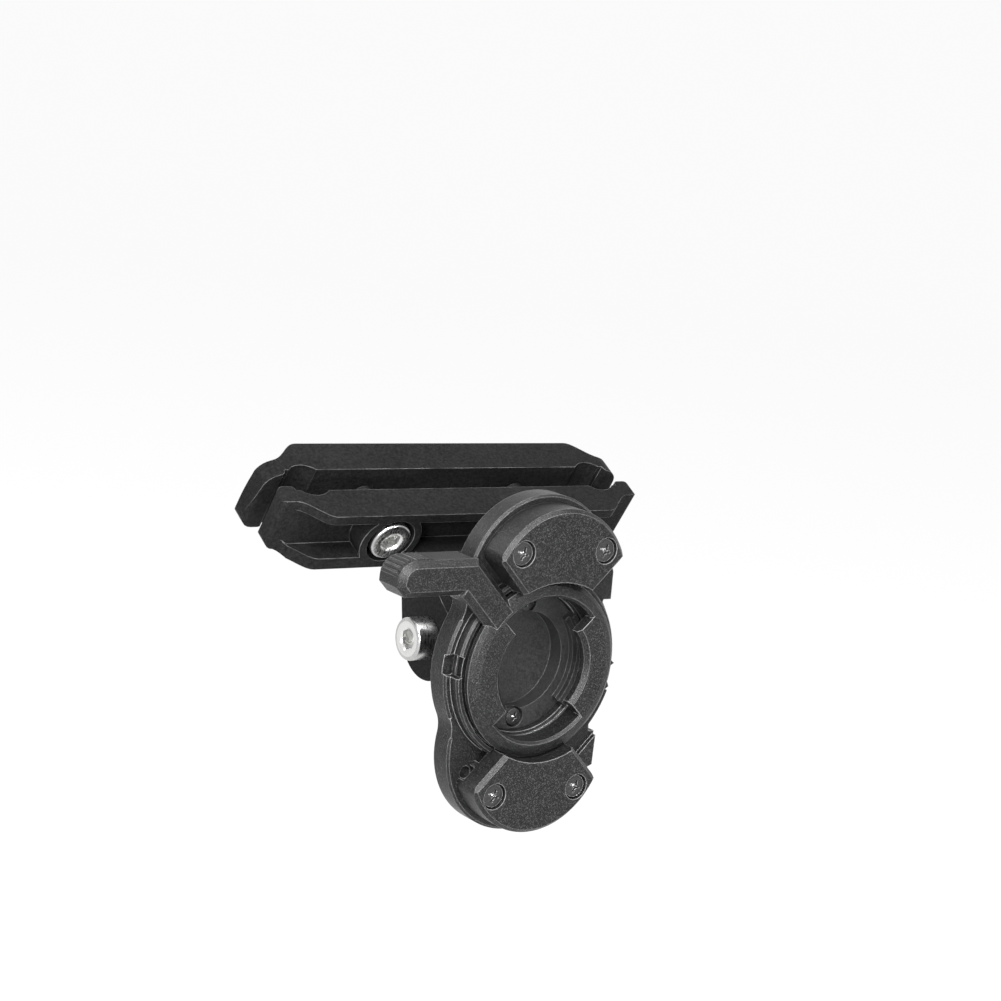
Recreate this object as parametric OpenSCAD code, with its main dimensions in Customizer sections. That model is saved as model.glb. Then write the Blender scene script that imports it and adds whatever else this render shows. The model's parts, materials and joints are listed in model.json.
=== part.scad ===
// Light mount that clamps across the two rails of a bicycle saddle.
// The origin is the middle of the round well that takes the light's boss.
// X runs along the clamp bars, -Y is the way the light leaves, +Z is up. Millimetres.

/* [Saddle rails] */
// Diameter of each saddle rail
rail_d = 7; // [6.5:0.1:8]
// Distance from the centre plane to each rail's axis
rail_x = 28.8; // [26:0.1:32]
// How deep each rail sinks into each clamp bar
rail_sink = 1.1; // [0.8:0.1:1.5]

/* [Clamp bars] */
// Height of each clamp bar along the rails
bar_h = 11.2; // [10:0.1:14]
// Thickness of each clamp bar at its middle
bar_t = 6.2; // [5.8:0.1:8]
// Thickness left at the thin ends of each bar
bar_end_t = 2.5; // [2.3:0.1:3.2]
// Length of bar outside each rail's surface, which forms the hook
hook_w = 3.4; // [2.8:0.1:5]
// How far each hook reaches into the gap between the bars
hook_reach = 1; // [0.8:0.1:1.8]
// How much further each end of the rear bar stands out than the front bar's
rear_more = 0.9; // [0:0.1:1.5]
// Width of the top and bottom ribs round the front pockets
top_rib = 1.7; // [1.2:0.1:2.2]
// Width of the bottom rib of the pockets
low_rib = 2.3; // [1.6:0.1:2.6]
// Distance from the centre plane to each clamp bolt
bolt_x = 15.3; // [14.6:0.1:17]
// Radius of the round boss about each clamp bolt
boss_r = 5.5; // [5:0.1:5.8]
// Lean of the clamp bars back to front, for sloping rails
clamp_tilt = 30; // [20:1:35]

/* [Socket bolts] */
// Thread diameter of the three socket bolts
bolt_d = 4; // [3.5:0.5:4]
// Diameter of the socket bolts' round heads
bolt_head_d = 7; // [6.6:0.1:7.2]
// Height of the socket bolts' round heads
bolt_head_h = 4; // [3.4:0.1:4.2]
// Width of the hexagon recess across its flats
bolt_hex = 3; // [2.5:0.1:3.2]
// Thickness of the washers under the clamp bolts
washer_t = 0.5; // [0.3:0.1:0.8]

/* [Tilting joint] */
// Distance from the origin back to the tilt axis
pivot_y = 12.6; // [12:0.1:15]
// Height of the tilt axis above the origin
pivot_z = 0.3; // [-1:0.1:1]
// Distance from the tilt axis to the front face of the front bar
bar_reach = 10.6; // [10:0.1:13]
// Height of the bars' lower edge above the tilt axis, along their lean
bar_rise = 5.9; // [5:0.1:8]
// Radius of the round ears on the front bar
ear_r = 7; // [6:0.1:7.4]
// Thickness of each ear
ear_t = 4.1; // [3.8:0.1:5]
// Width of the tongue between the ears
tongue_w = 7.6; // [6:0.1:9]
// Radius of the tongue's round end
tongue_r = 6.5; // [5:0.1:6.8]
// Thickness of the friction washers beside the tongue
friction_t = 0.5; // [0.3:0.1:0.8]
// Width of the pivot nut across its flats
nut_af = 7; // [7:0.1:7.4]
// Height of the pivot nut
nut_h = 3.2; // [2.6:0.1:3.4]

/* [Head plate] */
// Radius of each round lobe of the head plate
lobe_r = 14.1; // [13.8:0.1:15]
// How far the square shoulders at the right stand out past the lobes
shoulder_out = 0.8; // [0.4:0.1:1]
// Width of the plate's rim outside the lock ring
rim_w = 2.3; // [2:0.1:2.6]
// Thickness of the head plate
plate_t = 3.7; // [3.2:0.1:4.4]
// Thickness of the wall round the cup, behind the plate
back_wall = 1.5; // [1.3:0.1:2]
// Thickness of the low wall round the lock ring
wall_w = 0.9; // [0.8:0.1:1.2]
// Height of that wall above the plate
wall_h = 1.8; // [1.4:0.1:2]
// Radius of the tether hole in the lower lobe
tether_r = 1; // [0.8:0.1:1.2]

/* [Lock ring] */
// Width of the lock ring's face round its opening
ring_w = 2.5; // [2.4:0.1:2.8]
// Height of the lock ring above its bearing
ring_t = 3.8; // [3.6:0.1:4.1]
// Bevel round the ring's front edge
ring_bevel = 0.7; // [0.4:0.1:0.8]
// Width of the shallow slope inside that bevel
slope_w = 1.2; // [0.8:0.1:1.4]
// How much wider than the well the gap between the locking lips is
lip_clear = 0.4; // [0.2:0.1:0.8]
// Thickness of the locking lips
lip_t = 1.9; // [1.5:0.1:2.2]
// Half the angle that each lip spans
lip_half_angle = 43; // [35:1:45]
// Width of the lever's arm
lever_w = 5.6; // [4:0.1:6]
// Distance from the ring's edge to the lever's end
lever_len = 15; // [12:0.1:20]
// Thickness of the lever's thumb pad
pad_t = 5.7; // [5:0.1:6]

/* [Keeper caps] */
// Thickness of each keeper cap
cap_t = 5.3; // [5:0.1:6]
// Radius of the caps' round outer edge
cap_r = 13.4; // [13:0.1:13.8]
// Width of the bevel along the caps' front edges
cap_bevel = 0.6; // [0.3:0.1:0.8]
// Where the caps' slanted sides would meet the axis plane
cap_side = 6; // [5.8:0.1:6.6]
// Sideways place of the cap screws
screw_x = 8.1; // [7:0.1:8.6]
// Distance of the cap screws outside the lock ring
screw_out = 5.1; // [4.8:0.1:5.6]
// Thread diameter of the cap screws
screw_d = 2; // [1.6:0.1:2.2]
// Head diameter of the cap screws
screw_head_d = 3.8; // [3.4:0.1:4]
// Head height of the small screws
screw_head_h = 1.4; // [1.2:0.1:1.6]

/* [Socket cup] */
// Radius of the well that takes the light's boss
well_r = 8; // [7.8:0.1:8.6]
// Depth of the well
well_depth = 2.8; // [2.4:0.1:3]
// Thickness of the cup's wall round the well
cup_wall = 3.4; // [3.3:0.1:3.8]
// Thickness of the cup's floor
cup_floor = 0.8; // [0.6:0.1:1.2]
// Height of the side ledges above the well's mouth
ledge_h = 2; // [1:0.1:2]
// Half the angle that each side ledge spans
ledge_half_angle = 42; // [35:1:45]
// Thread diameter of the cup screws
cup_screw_d = 1.6; // [1.4:0.1:1.7]
// Head diameter of the cup screws
cup_screw_head_d = 2.8; // [2.6:0.1:3]

/* [Hidden] */

// Clearances
run_gap = 0.05;   // between flat faces that slide on each other
shaft_gap = 0.06; // radial, round a shank in its hole or thread
guide_gap = 0.08; // radial, between the lock ring and the caps that guide it
open_gap = 0.3;   // between curved faces that never touch
seat_gap = 0.03;  // between pieces that are screwed down together
cut = 0.5;        // how far a cutter runs past a face

black = "#1b1b1d";
satin = "#232325";
steel = "#b9bbbd";
dark_steel = "#2a2a2c";
nylon = "#3a3a3c";

// Radii about the socket's axis, from the well outwards
cup_r = well_r + cup_wall;
cup_screw_z = cup_r - 2;
ring_bore_r = cup_r + open_gap;
ring_r = ring_bore_r + ring_w;
lip_r = well_r + lip_clear;
wall_in_r = ring_r + open_gap;
wall_r = wall_in_r + wall_w;
middle_r = ring_r + rim_w;
back_boss_r = cup_r + back_wall;
lobe_z = ring_r - 1;
cap_z = lobe_z - 0.5;
tether_place = [-10.4, -lobe_z - 3.6];
screw_z = ring_r + screw_out;
lever_reach = ring_r + lever_len;

// Places along Y
well_mouth_y = -well_depth / 2;
well_floor_y = well_depth / 2;
cup_back_y = well_floor_y + cup_floor;
pocket_y = cup_back_y + seat_gap;
ledge_y = well_mouth_y - ledge_h;
back_boss_wall = 1.6;
back_boss_y = pocket_y + back_boss_wall;
plate_front_y = -3.8;
plate_back_y = plate_front_y + plate_t;
// The ring, its bearing and the spring washer lie between the plate's seat and the caps
seat_depth = 1.2;
seat_y = plate_front_y + seat_depth;
spring_t = 0.45;
bearing_t = 0.5;
bearing_y = seat_y - 2 * run_gap - spring_t - bearing_t;
ring_back_y = bearing_y - run_gap;
ring_front_y = ring_back_y - ring_t;
groove_w = 1;
groove_depth = 1.2;
groove_r = ring_r - groove_depth;
groove_back_y = ring_back_y - 1.2;
groove_front_y = groove_back_y - groove_w;
cap_front_y = plate_front_y - cap_t;

// Places in the clamp's own leaning frame, whose origin is the tilt axis
rail_gap = rail_d - 2 * rail_sink;
bar_back = bar_reach + bar_t;
rail_y = bar_back + rail_gap / 2;
bar_mid_z = bar_rise + bar_h / 2;
hook_x = rail_x + rail_d / 2 - 0.1;
bar_half = hook_x + hook_w;
curve_start = hook_x - 4.9;
curve_end = hook_x + 1;
pocket_depth = bar_t - bar_end_t;

// Widths across the tilting joint
ear_in = tongue_w / 2 + 2 * run_gap + friction_t;
ear_out = ear_in + ear_t;
ear_foot = 4.4;
ear_band = 2.8;
friction_r = 6;
nut_sink = 2.4;
pivot_bolt_len = 2 * ear_out - nut_sink + nut_h;

// Bolts
shank_r = bolt_d / 2;
hole_r = shank_r + shaft_gap;
head_r = bolt_head_d / 2;
head_proud = 0.3;
head_seat = bar_reach - head_proud + bolt_head_h;
washer_r = 4;
washer_seat = head_seat + washer_t + seat_gap;
clamp_bolt_len = bar_back + rail_gap + bar_t - head_seat;
bolt_pocket_r = washer_r + 0.25;
screw_hole_r = screw_d / 2 + shaft_gap;
screw_pocket_r = screw_head_d / 2 + 0.2;
cup_screw_hole_r = cup_screw_d / 2 + shaft_gap;
cup_pocket_r = cup_screw_head_d / 2 + 0.3;
cap_head_sink = screw_head_h + 0.3;
cap_screw_len = cap_t - cap_head_sink + plate_t - 0.9;
cup_head_sink = screw_head_h + 0.1;

// Lever
lever_bevel = 1;
arm_shift = -0.5; // how far the slanted arm lies below the line through the axis
// Where the slanted arm's two edges cross the plane x = 0
arm_upper = arm_shift + lever_w / 2 * sqrt(2);
arm_lower = arm_shift - lever_w / 2 * sqrt(2);
pad_low = 12.7;
pad_high = pad_low + lever_w;
pad_start = middle_r - 0.9;
pad_round = 3;
over_wall = 0.3;

$fn = 96;

function circle_points(r, from, to, steps) =
    [for (i = [0:steps]) r * [cos(from + (to - from) * i / steps), sin(from + (to - from) * i / steps)]];

function smooth(u) = (1 - cos(180 * u)) / 2;

function shifted(points, by) = [for (p = points) p + by];

function mirrored_back(points) = [for (i = [len(points) - 1:-1:0]) [-points[i][0], points[i][1]]];

// Point where a line from p touches a circle of radius r about the origin, on one side of it
function tangent_point(p, r, side) =
    let (around = atan2(p[1], p[0]), open = acos(r / norm(p)))
    r * [cos(around + side * open), sin(around + side * open)];

// A cylinder along +Y that starts at y
module rod_y(r, y, len) {
    translate([0, y, 0]) rotate([-90, 0, 0]) cylinder(r = r, h = len);
}

// A cylinder along +Y whose front edge has a bevel
module bevelled_rod(r, y, len, bevel) {
    translate([0, y, 0]) rotate([-90, 0, 0]) cylinder(r1 = r - bevel, r2 = r, h = bevel);
    rod_y(r, y + bevel, len - bevel);
}

// A cylinder along +X that starts at x
module rod_x(r, x, len) {
    translate([x, 0, 0]) rotate([0, 90, 0]) cylinder(r = r, h = len);
}

// A flat outline in X and Z, given thickness from y backwards
module slab_y(y, len) {
    translate([0, y + len, 0]) rotate([90, 0, 0]) linear_extrude(len) children();
}

// A flat outline in Y and Z, given thickness from x to the right
module slab_x(x, len) {
    translate([x, 0, 0]) rotate([90, 0, 90]) linear_extrude(len) children();
}

// The frame of the leaning clamp
module clamp_frame() {
    translate([0, pivot_y, pivot_z]) rotate([clamp_tilt, 0, 0]) children();
}

// The frame of the tilt axis, upright
module pivot_frame() {
    translate([0, pivot_y, pivot_z]) children();
}

// Socket bolt along +Y: its head ends at y = 0 and its shank runs to y = len
module socket_bolt(len) {
    hex_depth = bolt_head_h * 0.6;
    hex_r = bolt_hex / 2 / cos(30);
    chamfer = 0.3;
    difference() {
        union() {
            rotate([-90, 0, 0]) cylinder(r = shank_r, h = len);
            bevelled_rod(head_r, -bolt_head_h, bolt_head_h, chamfer);
        }
        translate([0, -bolt_head_h - cut, 0]) rotate([-90, 0, 0])
            cylinder(r = hex_r, h = hex_depth + cut, $fn = 6);
        translate([0, -bolt_head_h - 0.01, 0]) rotate([-90, 0, 0])
            cylinder(r1 = hex_r + chamfer, r2 = hex_r - chamfer, h = 2 * chamfer);
    }
}

// Small cross-head screw along +Y: its head ends at y = 0
module cross_screw(thread_d, head_d, len) {
    crown = 0.3;
    arm_w = 0.55;
    arm_len = head_d * 0.6;
    recess = screw_head_h * 0.7;
    difference() {
        union() {
            rotate([-90, 0, 0]) cylinder(d = thread_d, h = len);
            bevelled_rod(head_d / 2, -screw_head_h, screw_head_h, crown);
        }
        for (turn = [20, 110]) rotate([0, turn, 0])
            translate([-arm_len / 2, -screw_head_h - cut, -arm_w / 2])
                cube([arm_len, recess + cut, arm_w]);
    }
}

// One half of a clamp bar seen from above, mating face on y = 0, body towards -y. It is longer by more
function bar_half_outline(more) =
    let (
        end = bar_half + more,
        front = [for (i = [0:10])
            let (u = i / 10) [curve_start + (curve_end - curve_start) * u,
                -bar_t + (bar_t - bar_end_t) * smooth(u)]],
        tip_r = 1,
        tip_low = shifted(circle_points(tip_r, -90, 0, 5), [end - tip_r, -bar_end_t + tip_r]),
        hook_r = 1.3,
        hook_out = shifted(circle_points(hook_r, 0, 90, 5), [end - hook_r, hook_reach - hook_r]),
        hook_small = 0.9,
        hook_in = shifted(circle_points(hook_small, 90, 180, 4),
            [hook_x + hook_small, hook_reach - hook_small])
    )
    concat(front, tip_low, hook_out, hook_in, [[hook_x, 0]]);

// A round or oval corner: a quarter turn from an angle, about the corner's own centre
function oval_corner(centre, size, from, steps) =
    [for (i = [0:steps])
        let (angle = from + 90 * i / steps)
        centre + [size[0] * cos(angle), size[1] * sin(angle)]];

// Front view of the right half of the front bar: its lower corner is sloped and rounded
function front_bar_face() =
    let (low = -bar_h / 2, high = bar_h / 2, slope_x = 4.4, slope_h = 1.7, r = 1.9)
    concat([[bar_half - slope_x, low]],
        oval_corner([bar_half - r, low + slope_h + r - 0.5], [r, r], -90, 5),
        oval_corner([bar_half - 0.8, high - 0.8], [0.8, 0.8], 0, 4));

// The same for the rear bar: round below, oval above, and its end leans in a little towards the top
function rear_bar_face() =
    let (low = -bar_h / 2, high = bar_h / 2, end = bar_half + rear_more, r = 2.2, lean = 0.9,
        oval_w = 3.6, oval_h = 3)
    concat(oval_corner([end - r, low + r], [r, r], -90, 5),
        oval_corner([end - lean - oval_w, high - oval_h], [oval_w, oval_h], 0, 8));

// Pocket between the ribs, outside the bolt's boss, as seen from the front
module outer_pocket_outline(low_rise) {
    low = -bar_h / 2 + low_rib;
    high = bar_h / 2 - top_rib;
    turn = bar_half - 4;
    far = bar_half + rear_more + cut;
    difference() {
        polygon([[bolt_x, low], [turn, low], [bar_half + cut, low + low_rise],
            [far, low + low_rise], [far, high], [bolt_x, high]]);
        translate([bolt_x, 0]) circle(r = boss_r);
    }
}

// Pocket between the two bolts
module middle_pocket_outline() {
    low = -bar_h / 2 + ear_band;
    high = bar_h / 2 - top_rib;
    difference() {
        translate([-bolt_x, low]) square([2 * bolt_x, high - low]);
        for (side = [-1, 1]) translate([side * bolt_x, 0]) circle(r = boss_r);
    }
}

// A clamp bar without its bolt holes: mating face on y = 0, pockets facing -y
module bar_blank(face, low_rise, more) {
    half = bar_half_outline(more);
    difference() {
        intersection() {
            translate([0, 0, -bar_h / 2 - cut]) linear_extrude(bar_h + 2 * cut)
                polygon(concat(half, mirrored_back(half)));
            slab_y(-bar_t - cut, bar_t + hook_reach + 2 * cut) polygon(concat(face, mirrored_back(face)));
        }
        for (side = [0, 1]) mirror([side, 0, 0]) {
            translate([rail_x, rail_gap / 2, -bar_h / 2 - cut])
                cylinder(r = rail_d / 2, h = bar_h + 2 * cut);
            slab_y(-bar_t - cut, pocket_depth + cut) outer_pocket_outline(low_rise);
        }
        slab_y(-bar_t - cut, pocket_depth + cut) middle_pocket_outline();
    }
}

// Side view of one ear of the front bar, about the tilt axis
module ear_outline() {
    top = [bar_reach + 0.6, bar_rise + ear_band];
    foot = [bar_reach + ear_foot, bar_rise];
    circle(r = ear_r);
    polygon([tangent_point(top, ear_r, 1), top, [foot[0], top[1]], foot,
        tangent_point(foot, ear_r, -1), [0, 0]]);
}

module front_clamp_bar() {
    color(satin) clamp_frame() difference() {
        union() {
            translate([0, bar_back, bar_mid_z]) bar_blank(front_bar_face(), 2.6, 0);
            for (x = [-ear_out, ear_in]) slab_x(x, ear_t) ear_outline();
        }
        for (side = [-1, 1]) translate([side * bolt_x, 0, bar_mid_z]) {
            rod_y(hole_r, bar_reach - cut, bar_t + 2 * cut);
            rod_y(bolt_pocket_r, bar_reach - cut, washer_seat - bar_reach + cut);
        }
        rod_x(hole_r, -ear_out - cut, 2 * ear_out + 2 * cut);
        translate([ear_out - nut_sink, 0, 0]) rotate([0, 90, 0])
            cylinder(r = nut_af / 2 / cos(30) + shaft_gap, h = nut_sink + cut, $fn = 6);
    }
}

module rear_clamp_bar() {
    color(satin) clamp_frame() difference() {
        translate([0, bar_back + rail_gap, bar_mid_z]) mirror([0, 1, 0])
            bar_blank(rear_bar_face(), 2.8, rear_more);
        for (side = [-1, 1]) translate([side * bolt_x, 0, bar_mid_z])
            rod_y(hole_r, bar_back + rail_gap - cut, bar_t + 2 * cut);
    }
}

module clamp_bolt(side) {
    color(steel) clamp_frame() translate([side * bolt_x, head_seat, bar_mid_z]) socket_bolt(clamp_bolt_len);
}

module clamp_washer(side) {
    color(steel) clamp_frame() translate([side * bolt_x, head_seat + seat_gap / 2, bar_mid_z])
        rotate([-90, 0, 0]) difference() {
            cylinder(r = washer_r, h = washer_t);
            translate([0, 0, -cut]) cylinder(r = hole_r + 0.1, h = washer_t + 2 * cut);
        }
}

module clamp_bolt_left() { clamp_bolt(-1); }

module clamp_bolt_right() { clamp_bolt(1); }

module clamp_washer_left() { clamp_washer(-1); }

module clamp_washer_right() { clamp_washer(1); }

module pivot_bolt() {
    color(steel) pivot_frame() translate([-ear_out, 0, 0]) rotate([0, 0, -90]) socket_bolt(pivot_bolt_len);
}

module pivot_nut() {
    seat_x = ear_out - nut_sink + seat_gap;
    color(steel) clamp_frame() translate([seat_x, 0, 0]) rotate([0, 90, 0]) difference() {
        cylinder(r = nut_af / 2 / cos(30), h = nut_h, $fn = 6);
        translate([0, 0, -cut]) cylinder(r = hole_r, h = nut_h + 2 * cut);
    }
}

module friction_washer(x) {
    color(nylon) pivot_frame() difference() {
        rod_x(friction_r, x, friction_t);
        rod_x(hole_r + 0.1, x - cut, friction_t + 2 * cut);
    }
}

module friction_washer_left() { friction_washer(-tongue_w / 2 - run_gap - friction_t); }

module friction_washer_right() { friction_washer(tongue_w / 2 + run_gap); }

// Centre of a hollow of radius r that touches the round middle and the upper lobe, at the left
function hollow_centre(r) =
    let (
        a = middle_r + r,
        b = lobe_r + r,
        z = (a * a - b * b + lobe_z * lobe_z) / (2 * lobe_z)
    )
    [-sqrt(a * a - z * z), z];

// The smooth web at the left between the round middle and the upper lobe
module web_outline() {
    r = 5;
    centre = hollow_centre(r);
    difference() {
        polygon([[0, 0], centre, [0, lobe_z]]);
        translate(centre) circle(r = r);
    }
}

// A square shoulder at the right of the upper lobe, from one height to another
module shoulder_outline(from, to) {
    out = lobe_r + shoulder_out;
    end = [out - 0.2, to - lobe_z];
    low = from - lobe_z;
    translate([0, lobe_z]) polygon([[0, low], [out, low], end, tangent_point(end, lobe_r, 1)]);
}

// Small pointed teeth on the right rim: angle, half width, height
rim_teeth = [[-3, 0.9, 0.9], [-16, 1.7, 1]];

module rim_tooth(tooth) {
    foot = middle_r - cut;
    rotate(tooth[0]) polygon([[foot, -tooth[1]], [foot, tooth[1]], [middle_r + tooth[2], 0]]);
}

// The wider stretch of the right rim below the teeth
module rim_swell() {
    from = -18;
    to = -44;
    far = 2 * middle_r;
    intersection() {
        circle(r = middle_r + 1);
        polygon([[0, 0], far * [cos(to), sin(to)], far * [cos(from), sin(from)]]);
    }
}

// Two round lobes and a round middle, with webs at the left and shoulders at the right
module plate_blank() {
    bevel = 0.35;
    for (z = [-lobe_z, lobe_z]) translate([0, 0, z]) bevelled_rod(lobe_r, plate_front_y, plate_t, bevel);
    bevelled_rod(middle_r, plate_front_y, plate_t, bevel);
    slab_y(plate_front_y, plate_t) {
        web_outline();
        mirror([0, 1]) web_outline();
        shoulder_outline(lobe_z - 3.3, lobe_z + 1.2);
        mirror([0, 1]) shoulder_outline(lobe_z - 1.1, lobe_z + 4.4);
        for (tooth = rim_teeth) rim_tooth(tooth);
        rim_swell();
    }
}

// Raised corner of the plate beside the lower cap
module corner_pad() {
    out = lobe_r + shoulder_out - 0.2;
    rise = 0.8;
    in = out - 3;
    slab_y(plate_front_y - rise, rise + cut) translate([0, -lobe_z])
        polygon([[in, -2.4], [out, 0.6], [out, -4.4], [in, -5.6]]);
}

// Round scoop at the left, through the low wall and a little into the plate
module wall_scoop() {
    scoop_r = 1.8;
    scoop_angle = 177;
    scoop_depth = 0.8;
    rotate([0, -scoop_angle, 0]) translate([wall_r, 0, 0])
        rod_y(scoop_r, plate_front_y - wall_h - cut, wall_h + cut + scoop_depth);
}

// Low wall round the lock ring, open where the keeper caps stand
module ring_wall() {
    difference() {
        bevelled_rod(wall_r, plate_front_y - wall_h, wall_h + cut, 0.3);
        for (end = [0, 1]) mirror([0, 0, end])
            slab_y(plate_front_y - wall_h - cut, wall_h + cut) cap_outline(0.05);
    }
}

// Outline of the upper cap from the front. It grows by more on every side where it cuts room for itself
module cap_outline(more) {
    side = cap_side - more * sqrt(2);
    far = 30;
    difference() {
        translate([0, cap_z]) circle(r = cap_r + more);
        circle(r = wall_in_r - more);
        for (turn = [0, 1]) mirror([turn, 0]) polygon([[0, side], [far, side + far], [far, 0], [0, 0]]);
    }
}

module head_plate() {
    color(black) difference() {
        union() {
            plate_blank();
            difference() {
                corner_pad();
                mirror([0, 0, 1]) slab_y(plate_front_y - 2, 3) cap_outline(0.05);
            }
            ring_wall();
            rod_y(back_boss_r, plate_back_y - cut, back_boss_y - plate_back_y + cut);
            slab_x(-tongue_w / 2, tongue_w) {
                translate([pivot_y, pivot_z]) circle(r = tongue_r);
                translate([back_boss_y - cut, pivot_z - tongue_r])
                    square([pivot_y - back_boss_y + cut, 2 * tongue_r]);
            }
        }
        rod_y(wall_in_r, plate_front_y - wall_h - cut, seat_y - plate_front_y + wall_h + cut);
        rod_y(cup_r + 0.05, plate_front_y, pocket_y - plate_front_y);
        wall_scoop();
        pivot_frame() rod_x(hole_r + 0.02, -tongue_w, 2 * tongue_w);
        for (x = [-screw_x, screw_x], z = [-screw_z, screw_z]) translate([x, 0, z])
            rod_y(screw_hole_r, plate_front_y - cut, plate_t + 2 * cut);
        for (z = [-cup_screw_z, cup_screw_z]) translate([0, 0, z])
            rod_y(cup_screw_hole_r, pocket_y - cut, back_boss_wall + 2 * cut);
        translate([tether_place[0], 0, tether_place[1]])
            rod_y(tether_r, plate_front_y - cut, plate_t + 2 * cut);
    }
}

// A ring-shaped sector between two radii, centred on the +X side, as a flat outline
module sector_outline(r1, r2, half_angle) {
    steps = 24;
    polygon(concat(circle_points(r2, -half_angle, half_angle, steps),
        circle_points(r1, half_angle, -half_angle, steps)));
}

module socket_cup() {
    ledge_step = 0.9;
    color(black) difference() {
        union() {
            rod_y(cup_r, well_mouth_y, cup_back_y - well_mouth_y);
            for (side = [0, 1]) mirror([side, 0, 0]) intersection() {
                difference() {
                    rod_y(cup_r, ledge_y, ledge_h + cut);
                    rod_y(cup_r - ledge_step, ledge_y - cut, ledge_h / 2 + cut);
                    rod_y(cup_r - 2 * ledge_step, ledge_y, ledge_h + 2 * cut);
                }
                slab_y(ledge_y, ledge_h + cut) sector_outline(well_r - 2, cup_r + 1, ledge_half_angle);
            }
        }
        rod_y(well_r, ledge_y - cut, well_floor_y - ledge_y + cut);
        for (z = [-cup_screw_z, cup_screw_z]) translate([0, 0, z]) {
            rod_y(cup_screw_hole_r + 0.1, well_mouth_y - cut, 3 * well_depth);
            rod_y(cup_pocket_r, well_mouth_y - cut, cup_head_sink + cut);
        }
    }
}

module cup_screw(z) {
    color(dark_steel) translate([0, well_mouth_y + cup_head_sink - seat_gap, z])
        cross_screw(cup_screw_d, cup_screw_head_d, back_boss_y - well_mouth_y - cup_head_sink);
}

module cup_screw_top() { cup_screw(cup_screw_z); }

module cup_screw_bottom() { cup_screw(-cup_screw_z); }

module spring_washer() {
    split_w = 1.6;
    color(steel) difference() {
        rod_y(ring_r - 0.2, seat_y - run_gap - spring_t, spring_t);
        rod_y(cup_r + 0.5, seat_y - run_gap - spring_t - cut, spring_t + 2 * cut);
        translate([0, seat_y - run_gap - spring_t - cut, -split_w / 2])
            cube([ring_r, spring_t + 2 * cut, split_w]);
    }
}

module bearing_ring() {
    color(nylon) difference() {
        rod_y(ring_r - 0.2, bearing_y, bearing_t);
        rod_y(cup_r + 0.5, bearing_y - cut, bearing_t + 2 * cut);
    }
}

// Corners of the lever, from the ring out along its arm, round the end of its pad and back
function lever_corners() =
    let (chamfer = 1.6, end_x = -lever_reach)
    concat([[0, arm_upper], [arm_upper - pad_high, pad_high]],
        oval_corner([end_x + pad_round, pad_high - pad_round], [pad_round, pad_round], 90, 6),
        [[end_x, pad_low + chamfer], [end_x + chamfer, pad_low],
            [arm_lower - pad_low, pad_low], [0, arm_lower]]);

module lever_outline() {
    polygon(lever_corners());
}

// Cuts a bevel along one straight edge of the lever's front face. It runs past each end by its share of more
module edge_bevel(from, to, more) {
    along = to - from;
    translate([from[0], ring_front_y, from[1]]) rotate([0, -atan2(along[1], along[0]), 0])
        slab_x(-more[0], norm(along) + more[0] + more[1])
            polygon([[-cut, -cut], [-cut, lever_bevel + cut], [lever_bevel + cut, -cut]]);
}

// The bevels along all the lever's front edges. The last two meet in the inner corner below the arm
module lever_bevels() {
    at = lever_corners();
    last = len(at) - 2;
    meet = lever_bevel * tan(22.5);
    for (i = [0:last]) edge_bevel(at[i], at[i + 1], [i == last ? meet : cut, i == last - 1 ? meet : cut]);
}

// The pad: all of the lever outside the slanted arm
module lever_pad() {
    slab_y(ring_front_y, pad_t) intersection() {
        lever_outline();
        translate([-lever_reach - 1, 0]) square([lever_reach + 1 - pad_start, 2 * pad_high]);
    }
}

// Fine grip ribs over the pad's rounded end
module lever_ribs() {
    rib_r = 0.3;
    pitch = 0.75;
    centre = [-lever_reach + pad_round, pad_high - pad_round];
    out = pad_round - 0.12;
    round_places = [for (angle = [100:16:164]) centre + out * [cos(angle), sin(angle)]];
    flat_places = [for (i = [1:4]) centre + [i * pitch, out]];
    for (place = concat(round_places, flat_places)) translate([place[0], 0, place[1]])
        rod_y(rib_r, ring_front_y + lever_bevel + 0.2, pad_t - lever_bevel - 0.4);
}

// The slanted arm, from under the ring's face to the pad
module lever_arm(rise) {
    slab_y(ring_front_y, rise) intersection() {
        lever_outline();
        translate([-pad_start - 0.01, 0]) square([pad_start + 0.01, 2 * pad_high]);
    }
}

// The lever without its ring, clear of the plate, the wall and the lobes
module lever() {
    inner = ring_r - ring_bevel - slope_w + 0.2;
    clear_r = middle_r + 0.9 + open_gap;
    rise = plate_front_y - wall_h - run_gap - over_wall - ring_front_y;
    difference() {
        union() {
            lever_pad();
            lever_arm(rise);
            lever_ribs();
        }
        rod_y(inner, ring_front_y - cut, pad_t + 2 * cut);
        rod_y(clear_r, ring_front_y + rise, pad_t);
        lever_bevels();
        lobe_room();
    }
}

// Room for the lobe, the shoulder and the caps' slanted side while the lever turns
module lobe_room() {
    room = lobe_r + open_gap;
    lever_travel = 80;
    for (turn = [0, 20, 40, 60, lever_travel]) rotate([0, turn, 0]) for (end = [-1, 1])
        translate([0, 0, end * lobe_z]) rod_y(room, plate_front_y - run_gap - 0.25, pad_t);
}

// Section of the ring on its right side: radius, then place along Y
function ring_section() =
    let (edge = 0.4, slope = 0.35)
    [[ring_bore_r, ring_front_y + edge],
        [ring_bore_r + edge, ring_front_y],
        [ring_r - ring_bevel - slope_w, ring_front_y],
        [ring_r - ring_bevel, ring_front_y + slope],
        [ring_r, ring_front_y + slope + ring_bevel * 0.7],
        [ring_r, groove_front_y],
        [groove_r, groove_front_y],
        [groove_r, groove_back_y],
        [ring_r, groove_back_y],
        [ring_r, ring_back_y],
        [ring_bore_r, ring_back_y]];

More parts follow.
